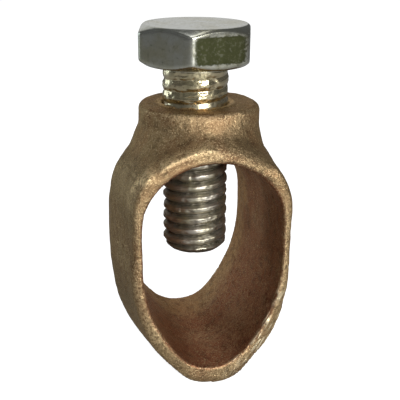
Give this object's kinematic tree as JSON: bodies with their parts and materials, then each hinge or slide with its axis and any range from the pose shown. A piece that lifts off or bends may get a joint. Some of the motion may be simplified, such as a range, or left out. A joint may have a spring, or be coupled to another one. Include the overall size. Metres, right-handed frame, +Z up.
{
  "type": "earth rod clamp",
  "caption": "Cast loop clamp with a round threaded boss and a hexagon-head screw that presses a conductor against a round earth rod.",
  "frame": {"origin": "lowest point inside the loop, where the conductor lies, on the screw's axis at mid-depth", "axes": "+Z up the screw's axis towards its head, +Y along the clamped rod, +X across the loop"},
  "size_m": [0.0268, 0.0246, 0.0543],
  "materials": {
    "cast_bronze": "rough cast, dull brown skin with brighter worn edges",
    "plated_steel": "dull zinc plating with a yellow-green cast"
  },
  "bodies": {
    "body": {"clamp_body": "cast_bronze"},
    "screw": {"hex_bolt": "plated_steel"}
  },
  "joints": [
    {"name": "screw_travel", "type": "slide", "parent": "body", "child": "screw", "axis": [0, 0, 1], "range_m": [-0.0054, 0.0165]}
  ]
}
